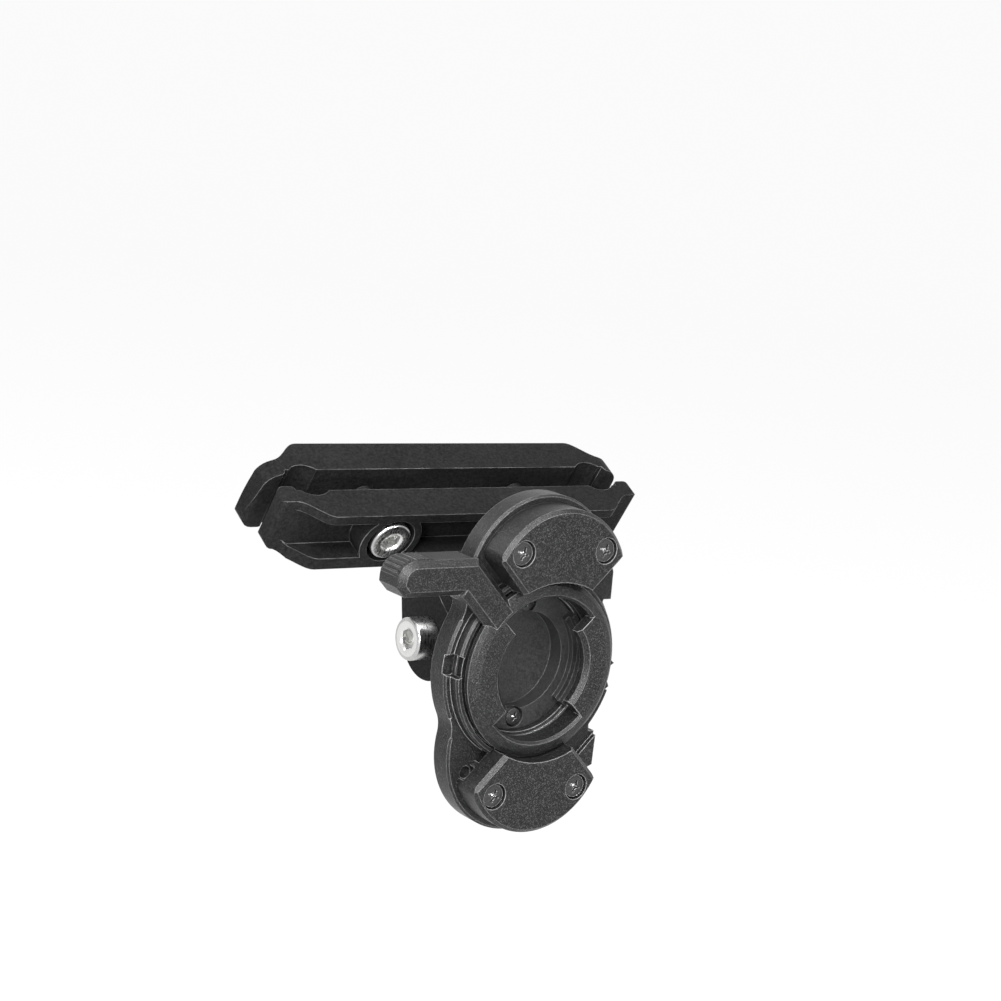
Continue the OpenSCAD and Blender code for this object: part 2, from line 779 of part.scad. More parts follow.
// One of the two lips that reach in over the well, with a bevel along its inner edge
module locking_lip() {
    bevel = 0.7;
    out = ring_bore_r + cut;
    far = ring_r;
    intersection() {
        rotate([-90, 0, 0]) rotate_extrude() polygon([
            [lip_r, ring_front_y + bevel],
            [lip_r + bevel, ring_front_y],
            [out, ring_front_y],
            [out, ring_front_y + lip_t],
            [lip_r, ring_front_y + lip_t]]);
        slab_y(ring_front_y - cut, lip_t + 2 * cut)
            polygon([[0, 0], [far, -far * tan(lip_half_angle)], [far, far * tan(lip_half_angle)]]);
    }
}

module lock_ring() {
    color(black) {
        rotate([-90, 0, 0]) rotate_extrude() polygon(ring_section());
        for (side = [0, 1]) mirror([side, 0, 0]) locking_lip();
        lever();
    }
}

// Rounded corner between a cap's slanted side and its outer edge: what it takes away
module cap_corner_outline() {
    r = 1.6;
    // The corner's circle touches the slanted side and the outer edge from inside
    k = cap_side + r * sqrt(2) - cap_z;
    x = (-k + sqrt(2 * pow(cap_r - r, 2) - k * k)) / 2;
    centre = [x, x + k + cap_z];
    to_side = r * [1, -1] / sqrt(2);
    outward = (centre - [0, cap_z]) / (cap_r - r);
    far = 2 * r;
    difference() {
        polygon([centre, centre + to_side, centre + 2 * to_side + far * outward, centre + r * outward]);
        translate(centre) circle(r = r);
    }
}

// Keeper cap at the top: a round-backed block with a tongue that runs in the ring's groove
module keeper_cap() {
    tongue_gap = 0.1;
    far = 30;
    difference() {
        union() {
            difference() {
                translate([0, 0, cap_z]) bevelled_rod(cap_r, cap_front_y, cap_t - seat_gap, cap_bevel);
                rod_y(wall_in_r, cap_front_y - cut, cap_t + 2 * cut);
                for (turn = [0, 1]) mirror([turn, 0, 0])
                    slab_y(cap_front_y - cut, cap_t + 2 * cut) cap_corner_outline();
            }
            slab_y(groove_front_y + tongue_gap, groove_w - 2 * tongue_gap) difference() {
                circle(r = ring_r + 1);
                circle(r = groove_r + guide_gap);
            }
        }
        for (turn = [0, 1]) mirror([turn, 0, 0]) {
            slab_y(cap_front_y - cut, cap_t + 2 * cut)
                polygon([[-cut, cap_side - cut], [far, cap_side + far], [far, -far], [-cut, -far]]);
            translate([0, 0, cap_side]) rotate([0, -45, 0]) slab_x(0, far)
                polygon([[cap_front_y - cut, -cut], [cap_front_y - cut, cap_bevel + cut],
                    [cap_front_y + cap_bevel + cut, -cut]]);
        }
        for (x = [-screw_x, screw_x]) translate([x, 0, screw_z]) {
            rod_y(screw_hole_r + 0.1, cap_front_y - cut, cap_t + 2 * cut);
            rod_y(screw_pocket_r, cap_front_y - cut, cap_head_sink + cut);
        }
    }
}

module top_cap() { color(black) keeper_cap(); }

// The lower cap has two scoops at its left foot, beside the tether hole
module bottom_cap() {
    scoop_h = 1.4;
    color(black) difference() {
        rotate([0, 180, 0]) keeper_cap();
        for (scoop = [[tether_place[0], tether_place[1], 1.35], [-7.4, -lobe_z - 1.6, 1.5]])
            translate([scoop[0], 0, scoop[1]]) rod_y(scoop[2], plate_front_y - scoop_h, scoop_h + cut);
    }
}

module cap_screw(x, z) {
    color(dark_steel) translate([x, cap_front_y + cap_head_sink - seat_gap, z])
        cross_screw(screw_d, screw_head_d, cap_screw_len);
}

module top_screw_left() { cap_screw(-screw_x, screw_z); }

module top_screw_right() { cap_screw(screw_x, screw_z); }

module bottom_screw_left() { cap_screw(-screw_x, -screw_z); }

module bottom_screw_right() { cap_screw(screw_x, -screw_z); }

front_clamp_bar();
rear_clamp_bar();
clamp_bolt_left();
clamp_bolt_right();
clamp_washer_left();
clamp_washer_right();
pivot_bolt();
pivot_nut();
friction_washer_left();
friction_washer_right();
head_plate();
socket_cup();
cup_screw_top();
cup_screw_bottom();
spring_washer();
bearing_ring();
lock_ring();
top_cap();
bottom_cap();
top_screw_left();
top_screw_right();
bottom_screw_left();
bottom_screw_right();
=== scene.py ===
import json
import math

import bmesh
import bpy
from mathutils import Matrix, Vector


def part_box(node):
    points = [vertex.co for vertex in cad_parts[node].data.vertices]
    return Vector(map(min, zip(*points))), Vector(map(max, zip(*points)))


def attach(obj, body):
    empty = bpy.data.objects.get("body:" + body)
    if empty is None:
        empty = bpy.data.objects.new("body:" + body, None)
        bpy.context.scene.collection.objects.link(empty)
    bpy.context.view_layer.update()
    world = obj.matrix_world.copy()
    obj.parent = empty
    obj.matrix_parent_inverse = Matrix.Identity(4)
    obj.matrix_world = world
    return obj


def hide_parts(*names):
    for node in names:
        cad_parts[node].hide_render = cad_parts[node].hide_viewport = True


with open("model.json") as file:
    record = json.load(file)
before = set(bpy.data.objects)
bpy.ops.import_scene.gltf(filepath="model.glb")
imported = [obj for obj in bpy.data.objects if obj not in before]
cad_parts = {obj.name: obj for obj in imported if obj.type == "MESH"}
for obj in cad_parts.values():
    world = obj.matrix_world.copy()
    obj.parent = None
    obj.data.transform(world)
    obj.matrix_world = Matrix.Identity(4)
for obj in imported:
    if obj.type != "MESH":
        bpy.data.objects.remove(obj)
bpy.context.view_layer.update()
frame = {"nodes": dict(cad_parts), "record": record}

mm = 0.001
weldDistance = 1e-7
nodes = frame["nodes"]


# Shader maths


class Wire:
    # wraps one output socket, so that finishes can be written as sums
    def __init__(self, tree, socket):
        self.tree = tree
        self.socket = socket

    def isColour(self):
        return self.socket.type in ("RGBA", "VECTOR")

    def join(self, operation, first, second=None):
        vector = any(isinstance(x, Wire) and x.isColour() for x in (first, second))
        maths = self.tree.nodes.new("ShaderNodeVectorMath" if vector else "ShaderNodeMath")
        maths.operation = operation
        for place, value in enumerate((first, second)):
            if value is None:
                continue
            if isinstance(value, Wire):
                self.tree.links.new(value.socket, maths.inputs[place])
            elif vector and isinstance(value, (int, float)):
                maths.inputs[place].default_value = (value,) * 3
            else:
                maths.inputs[place].default_value = value
        output = "Value" if vector and operation in ("DOT_PRODUCT", "LENGTH") else 0
        return Wire(self.tree, maths.outputs[output])

    def __add__(self, other):
        return self.join("ADD", self, other)

    def __radd__(self, other):
        return self.join("ADD", other, self)

    def __sub__(self, other):
        return self.join("SUBTRACT", self, other)

    def __rsub__(self, other):
        return self.join("SUBTRACT", other, self)

    def __mul__(self, other):
        return self.join("MULTIPLY", self, other)

    def __rmul__(self, other):
        return self.join("MULTIPLY", other, self)

    def dot(self, other):
        return self.join("DOT_PRODUCT", self, other)

    def length(self):
        return self.join("LENGTH", self)

    def clamped(self):
        return self.join("MAXIMUM", self.join("MINIMUM", self, 1.0), 0.0)


def grey(tone, blue=None):
    # a neutral colour, or one with its blue set apart
    return (tone, tone, tone if blue is None else blue)


def opaque(tone):
    return tone if isinstance(tone, Wire) else (*tone, 1)


class Finish:
    # one material or world, and the nodes that make it
    def __init__(self, owner):
        owner.use_nodes = True
        self.owner = owner
        self.tree = owner.node_tree
        self.tree.nodes.clear()

    def node(self, kind, settings=None, sockets=None, output=0):
        made = self.tree.nodes.new(kind)
        for key, value in (settings or {}).items():
            setattr(made, key, value)
        for key, value in (sockets or {}).items():
            if isinstance(value, Wire):
                self.tree.links.new(value.socket, made.inputs[key])
            else:
                made.inputs[key].default_value = value
        return Wire(self.tree, made.outputs[output]) if made.outputs else None

    def place(self):
        return self.node("ShaderNodeTexCoord", output="Object")

    def noise(self, size, detail, rough, stretch=None):
        # size is the width of one blot, in millimetres
        spot = self.place() * stretch if stretch else self.place()
        return self.node("ShaderNodeTexNoise", None, {
            "Vector": spot, "Scale": 1 / (size * mm), "Detail": detail, "Roughness": rough}, "Fac")

    def spread(self, value, low, high, toLow=0.0, toHigh=1.0):
        return self.node("ShaderNodeMapRange", {"clamp": True}, {
            "Value": value, "From Min": low, "From Max": high, "To Min": toLow, "To Max": toHigh}, "Result")

    def past(self, value, start, soft):
        # 0 before start and 1 after it, both in millimetres
        return self.spread(value, start * mm, (start + soft) * mm)

    def before(self, value, end, soft):
        return self.spread(value, end * mm, (end + soft) * mm, 1.0, 0.0)

    def mix(self, mask, first, second):
        # a colour Mix node has its factor at 0, its two colours at 6 and 7, and its result at 2
        colours = {0: mask, 6: opaque(first), 7: opaque(second)}
        return self.node("ShaderNodeMix", {"data_type": "RGBA"}, colours, 2)

    def rounded(self, radius):
        # the surface's direction with its edges rounded off
        return self.node("ShaderNodeBevel", {"samples": 6}, {"Radius": radius * mm})

    def edges(self, radius, low, high):
        flat = self.node("ShaderNodeNewGeometry", output="Normal")
        return self.spread(1 - self.rounded(radius).dot(flat), low, high)

    def bumped(self, height, strength, depth, under=None):
        sockets = {"Height": height, "Strength": strength, "Distance": depth * mm}
        if under is not None:
            sockets["Normal"] = under
        return self.node("ShaderNodeBump", None, sockets)

    def seen(self):
        # 1 for the rays that show the pale room: straight, in a reflection or through glass
        seen = self.node("ShaderNodeLightPath", output="Is Camera Ray")
        for ray in ("Is Glossy Ray", "Is Transmission Ray"):
            seen = seen.join("MAXIMUM", seen, self.node("ShaderNodeLightPath", output=ray))
        return seen

    def finish(self, **sockets):
        shader = self.node("ShaderNodeBsdfPrincipled", None, {
            key.replace("_", " "): value for key, value in sockets.items()})
        self.close(shader, "ShaderNodeOutputMaterial")
        return self.owner

    def close(self, shader, kind):
        self.node(kind, None, {"Surface": shader})


def newFinish(name):
    return Finish(bpy.data.materials.new(name))


# In the looks below, a noise is (width of a blot in millimetres, detail, roughness), a span is
# (low, high) or (low, high, result at low, result at high), a swing is how far the roughness
# moves with each mask, and sizes are in millimetres

blastedLook = {
    "tone": grey(0.002, 0.0021), "lightTone": grey(0.009, 0.0094), "speckTone": grey(0.075),
    "edgeHighlightTone": grey(0.36), "roughness": 0.33, "specular": 0.19,
    "grain": (0.25, 3.0, 0.65), "grainSpan": (0.32, 0.72),
    "sparkle": (0.18, 1.0, 0.4), "speckSpan": (0.52, 0.74), "speckShare": 0.42,
    "cloud": (9.0, 3.0, 0.55), "cloudSpan": (0.3, 0.7, 0.85, 1.15),
    "edge": 0.24, "edgeSpan": (0.02, 0.25), "edgeHighlightShare": 0.7,
    "patch": (1.6, 3.0, 0.6), "patchSpan": (0.3, 0.6, 0.45, 1.0),
    "swing": {"grain": 0.3, "edge": 0.1, "speck": 0.06},
    "bump": {"grain": 0.8, "sparkle": 0.6, "strength": 0.85, "depth": 0.07},
    "ribEnds": {"from": 0.95, "to": 1.6, "reach": 6.8, "soft": 0.1, "sharp": 0.05}}


def ribEnds(f, ends):
    # 1 at the small front ends of the lever's grip ribs, measured from the lock ring's lowest corner
    corner = Vector(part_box("lock_ring")[0]) / mm
    spot = f.place()
    across = spot.dot((1, 0, 0))
    deep = spot.dot((0, 1, 0))
    far = f.before(across, corner.x + ends["reach"], ends["soft"])
    behind = f.past(deep, corner.y + ends["from"], ends["sharp"])
    ahead = f.before(deep, corner.y + ends["to"], ends["soft"])
    return far * (behind * ahead)


def edgeHighlights(f, look):
    # painted highlight: bright along sharp edges, in patches
    return f.edges(look["edge"], *look["edgeSpan"]) * f.spread(f.noise(*look["patch"]), *look["patchSpan"])


def blastedBlack():
    # black anodising over bead blasting: fine sparkling grain, with painted highlights along sharp edges
    look = blastedLook
    f = newFinish("blastedBlack")
    grain = f.noise(*look["grain"])
    fine = f.noise(*look["sparkle"])
    edge = edgeHighlights(f, look) * (1 - ribEnds(f, look["ribEnds"]))
    speck = f.spread(fine, *look["speckSpan"])
    tone = f.mix(f.spread(grain, *look["grainSpan"]), look["tone"], look["lightTone"])
    tone = tone * f.spread(f.noise(*look["cloud"]), *look["cloudSpan"])
    tone = f.mix(speck * look["speckShare"], tone, look["speckTone"])
    tone = f.mix(edge * look["edgeHighlightShare"], tone, look["edgeHighlightTone"])
    swing = look["swing"]
    rough = look["roughness"] + (grain - 0.5) * swing["grain"]
    rough = rough - edge * swing["edge"] - speck * swing["speck"]
    bump = look["bump"]
    height = grain * bump["grain"] + fine * bump["sparkle"]
    normal = f.bumped(height, bump["strength"], bump["depth"], f.rounded(look["edge"]))
    return f.finish(
        Base_Color=tone, Roughness=rough.clamped(), Specular_IOR_Level=look["specular"], Normal=normal)


satinLook = {
    "tone": grey(0.005, 0.0051), "lightTone": grey(0.0115, 0.0118), "speckTone": grey(0.05),
    "edgeHighlightTone": grey(0.28), "roughness": 0.4, "specular": 0.02,
    "peel": (0.5, 2.0, 0.5), "peelSpan": (0.3, 0.7),
    "sparkle": (0.18, 1.0, 0.4), "speckSpan": (0.56, 0.76), "speckShare": 0.2,
    "cloud": (14.0, 3.0, 0.5), "cloudSpan": (0.3, 0.7, 0.85, 1.2),
    "edge": 0.2, "edgeSpan": (0.03, 0.3), "edgeHighlightShare": 0.8,
    "patch": (3.0, 3.0, 0.6), "patchSpan": (0.35, 0.65, 0.2, 1.0),
    "swing": {"cloud": 0.2, "peel": 0.1, "edge": 0.1},
    "bump": {"peel": 0.5, "sparkle": 0.4, "strength": 0.35, "depth": 0.03}}


def satinBlack():
    # smoother black of the clamp bars, with a faint orange peel
    look = satinLook
    f = newFinish("satinBlack")
    peel = f.noise(*look["peel"])
    fine = f.noise(*look["sparkle"])
    cloud = f.noise(*look["cloud"])
    # painted highlight along the bars' sharp edges
    edge = edgeHighlights(f, look)
    tone = f.mix(f.spread(peel, *look["peelSpan"]), look["tone"], look["lightTone"])
    tone = tone * f.spread(cloud, *look["cloudSpan"])
    tone = f.mix(f.spread(fine, *look["speckSpan"]) * look["speckShare"], tone, look["speckTone"])
    tone = f.mix(edge * look["edgeHighlightShare"], tone, look["edgeHighlightTone"])
    swing = look["swing"]
    rough = look["roughness"] + (cloud - 0.5) * swing["cloud"] + (peel - 0.5) * swing["peel"]
    rough = rough - edge * swing["edge"]
    bump = look["bump"]
    height = peel * bump["peel"] + fine * bump["sparkle"]
    normal = f.bumped(height, bump["strength"], bump["depth"], f.rounded(look["edge"]))
    return f.finish(
        Base_Color=tone, Roughness=rough.clamped(), Specular_IOR_Level=look["specular"], Normal=normal)


cupLook = {
    "tone": grey(0.006, 0.0062), "lightTone": grey(0.022, 0.0225), "edgeHighlightTone": grey(0.06),
    "roughness": 0.42, "specular": 0.34, "fine": (0.25, 2.0, 0.5), "fineSpan": (0.3, 0.7),
    "edge": 0.2, "edgeSpan": (0.03, 0.3), "edgeHighlightShare": 0.6, "ringPitch": 0.16,
    "swing": {"fine": 0.2, "edge": 0.1},
    "bump": {"rings": 0.15, "fine": 0.4, "strength": 0.3, "depth": 0.03}}


def cupBlack():
    # turned and anodised inside of the socket, with the tool's fine rings
    look = cupLook
    f = newFinish("cupBlack")
    radius = (f.place() * (1, 0, 1)).length()
    turns = radius * (2 * math.pi / (look["ringPitch"] * mm))
    rings = f.node("ShaderNodeMath", {"operation": "SINE"}, {0: turns})
    fine = f.noise(*look["fine"])
    # painted highlight: the cup's edges are painted lighter
    edge = f.edges(look["edge"], *look["edgeSpan"])
    tone = f.mix(f.spread(fine, *look["fineSpan"]), look["tone"], look["lightTone"])
    tone = f.mix(edge * look["edgeHighlightShare"], tone, look["edgeHighlightTone"])
    swing = look["swing"]
    rough = look["roughness"] + (fine - 0.5) * swing["fine"] - edge * swing["edge"]
    bump = look["bump"]
    height = rings * bump["rings"] + fine * bump["fine"]
    normal = f.bumped(height, bump["strength"], bump["depth"], f.rounded(look["edge"]))
    return f.finish(
        Base_Color=tone, Roughness=rough.clamped(), Specular_IOR_Level=look["specular"], Normal=normal)


steelLook = {
    "tone": grey(0.55, 0.545), "darkTone": grey(0.26), "scratchTone": grey(0.4), "roughness": 0.22,
    "scratch": (0.35, 3.0, 0.6), "drawn": (1, 0.25, 1), "scratchSpan": (0.62, 0.72), "scratchShare": 0.3,
    "blot": (1.4, 3.0, 0.6), "blotSpan": (0.35, 0.75), "blotShare": 0.55, "fine": (0.12, 2.0, 0.5),
    # the thread's dark tone is painted shade, from start to end along the bolt
    "thread": {"tone": grey(0.03), "start": 4.3, "end": 15, "soft": 0.3},
    # the head's middle, painted brighter as a highlight, with painted shade lines along the hexagon's edges
    "recess": {
        "tone": grey(0.72, 0.71), "radius": 2.8, "soft": 0.1, "blotSpan": (0.5, 0.75), "blotShare": 0.3,
        "line": 0.12, "lineSpan": (0.05, 0.25), "lineShare": 0.9},
    "swing": {
        "scratchSpan": (0.4, 0.7), "scratch": 0.14, "blotSpan": (0.4, 0.8), "blot": 0.1, "thread": 0.3},
    "bump": {"scratch": 0.5, "fine": 0.3, "strength": 0.25, "depth": 0.02, "edge": 0.12}}


def boltSteel():
    # bright stainless with faint scratches. The thread is painted dark as shade
    look = steelLook
    f = newFinish("boltSteel")
    scratch = f.noise(*look["scratch"], look["drawn"])
    fine = f.noise(*look["fine"])
    blot = f.noise(*look["blot"])
    tone = f.mix(f.spread(blot, *look["blotSpan"]) * look["blotShare"], look["tone"], look["darkTone"])
    tone = f.mix(f.spread(scratch, *look["scratchSpan"]) * look["scratchShare"], tone, look["scratchTone"])
    spot = f.place()
    # painted highlight: the middle of the head is brighter, and painted shade lies as dark lines along the
    # hexagon's edges
    recess = look["recess"]
    inside = f.before((spot * (1, 1, 0)).length(), recess["radius"], recess["soft"])
    blots = f.spread(blot, *recess["blotSpan"]) * recess["blotShare"]
    tone = f.mix(inside, tone, f.mix(blots, recess["tone"], look["tone"]))
    line = inside * f.edges(recess["line"], *recess["lineSpan"])
    thread = look["thread"]
    tone = f.mix(line * recess["lineShare"], tone, thread["tone"])
    # painted shade: the thread is darkened along the bolt
    along = spot.dot((0, 0, 1))
    threadShade = f.past(along, thread["start"], thread["soft"])
    threadShade = threadShade * f.before(along, thread["end"], thread["soft"])
    tone = f.mix(threadShade, tone, thread["tone"])
    swing = look["swing"]
    rough = look["roughness"] + f.spread(scratch, *swing["scratchSpan"]) * swing["scratch"]
    rough = rough + f.spread(blot, *swing["blotSpan"]) * swing["blot"] + threadShade * swing["thread"]
    bump = look["bump"]
    height = scratch * bump["scratch"] + fine * bump["fine"]
    normal = f.bumped(height, bump["strength"], bump["depth"], f.rounded(bump["edge"]))
    return f.finish(Base_Color=tone, Roughness=rough.clamped(), Metallic=1.0, Normal=normal)


washerFinish = {
    "tone": grey(0.5, 0.49), "darkTone": grey(0.28), "roughness": 0.3, "edge": 0.1,
    "grain": (0.3, 3.0, 0.6), "drawn": (1, 1, 0.2), "grainSpan": (0.3, 0.7),
    "blot": (1.8, 3.0, 0.6), "blotSpan": (0.3, 0.75), "blotShare": 0.6, "swing": 0.2,
    "bump": {"strength": 0.25, "depth": 0.02}}


def washerSteel():
    # duller rolled steel of the washers, nut and spring
    look = washerFinish
    f = newFinish("washerSteel")
    grain = f.noise(*look["grain"], look["drawn"])
    blots = f.spread(f.noise(*look["blot"]), *look["blotSpan"]) * look["blotShare"]
    rough = look["roughness"] + f.spread(grain, *look["grainSpan"]) * look["swing"]
    normal = f.bumped(grain, look["bump"]["strength"], look["bump"]["depth"], f.rounded(look["edge"]))
    return f.finish(
        Base_Color=f.mix(blots, look["tone"], look["darkTone"]), Roughness=rough.clamped(), Metallic=1.0,
        Normal=normal)


screwFinish = {
    "tone": grey(0.022, 0.023), "lightTone": grey(0.05), "edgeHighlightTone": grey(0.55), "rubbedAndGlintTone": grey(0.9),
    "roughness": 0.34, "metallic": 0.7, "fine": (0.2, 3.0, 0.6), "fineSpan": (0.3, 0.7),
    "edge": 0.12, "edgeSpan": (0.04, 0.35), "edgeHighlightShare": 0.9,
    "patch": (0.7, 2.0, 0.5), "patchSpan": (0.35, 0.6, 0.2, 1.0),
    "rubbedAndGlint": {
        "deep": 0.42, "fade": 0.13, "radius": 0.9, "soft": 0.2,
        "patch": (0.5, 2.0, 0.5), "span": (0.4, 0.6)},
    "swing": {"fine": 0.3, "edge": 0.1},
    "bump": {"strength": 0.3, "depth": 0.02, "edge": 0.1}}


def screwBlack():
    # black oxide, with a bright tone down in the cross that is partly wear where the driver has been and
    # partly a painted glint
    look = screwFinish
    f = newFinish("screwBlack")
    spot = f.place()
    # down in the cross: partly worn bare steel, partly a painted glint
    driver = look["rubbedAndGlint"]
    rubbedAndGlint = f.past(spot.dot((0, 0, 1)), driver["deep"], driver["fade"]) * f.before(
        (spot * (1, 1, 0)).length(), driver["radius"], driver["soft"])
    fine = f.noise(*look["fine"])
    # painted highlight along the screw's sharp edges
    edge = edgeHighlights(f, look)
    tone = f.mix(f.spread(fine, *look["fineSpan"]), look["tone"], look["lightTone"])
    tone = f.mix(edge * look["edgeHighlightShare"], tone, look["edgeHighlightTone"])
    tone = f.mix(rubbedAndGlint * f.spread(f.noise(*driver["patch"]), *driver["span"]), tone, look["rubbedAndGlintTone"])
    swing = look["swing"]
    rough = look["roughness"] + (fine - 0.5) * swing["fine"] - edge * swing["edge"]
    bump = look["bump"]
    normal = f.bumped(fine, bump["strength"], bump["depth"], f.rounded(bump["edge"]))
    return f.finish(Base_Color=tone, Roughness=rough.clamped(), Metallic=look["metallic"], Normal=normal)


plasticFinish = {
    "tone": grey(0.035, 0.037), "lightTone": grey(0.07, 0.072), "roughness": 0.5, "swing": 0.3,
    "fleck": (0.3, 3.0, 0.6), "fleckSpan": (0.35, 0.75), "bump": {"strength": 0.3, "depth": 0.03}}


def slidePlastic():
    # dark glass-filled nylon of the slide washers
    look = plasticFinish
    f = newFinish("slidePlastic")
    fleck = f.noise(*look["fleck"])
    tone = f.mix(f.spread(fleck, *look["fleckSpan"]), look["tone"], look["lightTone"])
    rough = look["roughness"] + (fleck - 0.5) * look["swing"]
    normal = f.bumped(fleck, look["bump"]["strength"], look["bump"]["depth"])
    return f.finish(Base_Color=tone, Roughness=rough.clamped(), Normal=normal)


finishes = {
    "head_black": blastedBlack(), "clamp_bar": satinBlack(), "cup_black": cupBlack(),
    "bolt_steel": boltSteel(), "washer_steel": washerSteel(), "screw_black": screwBlack(),
    "slide_plastic": slidePlastic()}
print("finishes", len(finishes))


# Turned pieces: rings of points about an axis, which stand for the plain CAD fasteners


def nodePoints(name):
    piece = nodes[name]
    return [piece.matrix_world @ v.co for v in piece.data.vertices]


def seat(name, axis):
    # a frame whose Z runs along the axis from the node's near end, and the node's length along it
    along = Vector(axis).normalized()
    across = along.cross(Vector((0, 0, 1)) if abs(along.z) < 0.9 else Vector((1, 0, 0))).normalized()
    over = along.cross(across)
    sides = [[p.dot(way) for p in nodePoints(name)] for way in (across, over, along)]
    middle = [(min(s) + max(s)) / 2 for s in sides]
    start = across * middle[0] + over * middle[1] + along * min(sides[2])
    turned = Matrix((across, over, along)).transposed().to_4x4()
    return Matrix.Translation(start) @ turned, (max(sides[2]) - min(sides[2])) / mm


def hexRadius(angle, flats):
    # distance from the axis to the side of a hexagon
    return flats / 2 / math.cos((angle + math.pi / 6) % (math.pi / 3) - math.pi / 6)


def turnedShell(work, rings, steps, closeStart=True, closeEnd=True):
    # rings is a list of functions of the angle that give (radius, height) in millimetres
    rows = []
    for ring in rings:
        row = []
        for i in range(steps):
            angle = 2 * math.pi * i / steps
            radius, height = ring(angle)
            spot = (radius * math.cos(angle) * mm, radius * math.sin(angle) * mm, height * mm)
            row.append(work.verts.new(spot))
        rows.append(row)
    for low, high in zip(rows, rows[1:]):
        for i in range(steps):
            j = (i + 1) % steps
            work.faces.new((low[i], low[j], high[j], high[i]))
    if closeStart:
        work.faces.new(rows[0][::-1])
    if closeEnd:
        work.faces.new(rows[-1])


def plainRing(radius, height):
    return lambda angle: (radius, height)


def hexRing(flats, height):
    return lambda angle: (hexRadius(angle, flats), height)


def roundedEdge(radius, height, bend, outward, steps=4):
    # rings round an outer edge, from the side to the end face, which lies at height
    side = 1 if outward else -1
    return [plainRing(radius - bend + bend * math.cos(math.pi / 2 * i / steps),
                      height - side * bend + side * bend * math.sin(math.pi / 2 * i / steps))
            for i in range(steps + 1)]


threadLook = {"blunt": 0.15, "flank": 0.7, "runOut": 0.2, "leastRings": 4}


def threadRings(major, minor, pitch, low, high, perTurn=8):
    # a thread as rings whose radius follows the helix, blunt at crest and root
    def ring(height, fade):
        def place(angle):
            phase = (height / pitch - angle / (2 * math.pi)) % 1.0
            tooth = min(max((abs(phase - 0.5) * 2 - threadLook["blunt"]) / threadLook["flank"], 0), 1)
            return (minor + (major - minor) * (1 - tooth) * fade, height)
        return place
    count = max(int((high - low) / pitch * perTurn), threadLook["leastRings"])
    heights = [low + (high - low) * i / count for i in range(count + 1)]
    return [ring(h, min(1, (h - low) / pitch, (high - h) / pitch + threadLook["runOut"])) for h in heights]


sharpFrom = 32  # degrees between faces from which an edge of a turned piece is shaded sharp


def newPiece(name, work, finish):
    bmesh.ops.recalc_face_normals(work, faces=work.faces)
    mesh = bpy.data.meshes.new(name)
    work.to_mesh(mesh)
    work.free()
    mesh.materials.append(finish)
    mesh.shade_smooth()
    piece = bpy.data.objects.new(name, mesh)
    bpy.context.scene.collection.objects.link(piece)
    return piece


def addPiece(name, work, slot, body, stands, frameOf):
    piece = newPiece(name, work, finishes[slot])
    piece.data.set_sharp_from_angle(angle=math.radians(sharpFrom))
    piece.matrix_world = frameOf
    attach(piece, body)
    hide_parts(stands)
    return piece


boltLook = {
    "headRadius": 3.5, "headHeight": 4.0, "headBend": 0.45, "underEdge": 0.15,
    "hexAcross": 3.0, "hexDeep": 2.4, "mouth": 0.2, "hexFloor": 0.9, "drillTip": 0.45, "tipRadius": 0.04,
    "threadRadius": 1.98, "rootRadius": 1.62, "pitch": 0.7, "point": 0.3, "steps": 96, "shankSteps": 40}


def socketBolt(name, node, axis, body):
    look = boltLook
    frameOf, length = seat(node, axis)
    work = bmesh.new()
    outer, tall, under = look["headRadius"], look["headHeight"], look["underEdge"]
    across, deep, mouth = look["hexAcross"], look["hexDeep"], look["mouth"]
    mouthRadius = hexRadius(math.pi / 6, across) + mouth
    # from the shank out under the head, round its edge and down into the hexagon
    turned = [plainRing(look["threadRadius"] * 0.8, tall), plainRing(outer - under, tall),
              plainRing(outer, tall - under)]
    turned += roundedEdge(outer, 0, look["headBend"], False)
    turned += [plainRing(mouthRadius + 0.06, 0), plainRing(mouthRadius, 0.03)]
    turned += [hexRing(across + 0.06, mouth + 0.1), hexRing(across, mouth + 0.25)]
    turned += [hexRing(across, deep - 0.08), hexRing(across - 0.2, deep)]
    turned += [plainRing(look["hexFloor"], deep + 0.05)]
    turned += [plainRing(look["tipRadius"], deep + look["drillTip"])]
    turnedShell(work, turned, look["steps"])
    root, point = look["rootRadius"], look["point"]
    shank = threadRings(look["threadRadius"], root, look["pitch"], tall - 0.2, length - point - 0.05)
    shank += [plainRing(root, length - point), plainRing(root - point, length)]
    turnedShell(work, shank, look["shankSteps"])
    return addPiece(name, work, "bolt_steel", body, node, frameOf)


clampWay = next(j["axis"] for j in frame["record"]["behaviour"]["joints"] if j["name"] == "clamp_open")
socketBolt("socketBoltLeft", "clamp_bolt_left", clampWay, "clamp")
socketBolt("socketBoltRight", "clamp_bolt_right", clampWay, "clamp")
socketBolt("tiltBolt", "pivot_bolt", (1, 0, 0), "clamp")
print("socket bolts made")

screwLook = {
    "capScrew": {
        "headRadius": 1.9, "headHeight": 1.4, "threadRadius": 0.98,
        "arm": 1.12, "armWide": 0.5, "deep": 0.95},
    "cupScrew": {
        "headRadius": 1.4, "headHeight": 1.4, "threadRadius": 0.78,
        "arm": 0.85, "armWide": 0.42, "deep": 0.8},
    "crown": 0.196, "face": 0.94, "wall": 0.1, "core": 0.62, "coreDeep": 0.85,
    "tipWide": 0.75, "flare": 0.35, "tipDeep": 0.45, "tipSlope": 4,
    "rimBend": 0.2, "rimHeight": 0.12, "under": 0.1,
    "pitch": 0.4, "perTurn": 6, "rings": 40, "steps": 120, "shankSteps": 28, "turn": 20}


def held(value):
    # between 0 and 1
    return min(max(value, 0), 1)


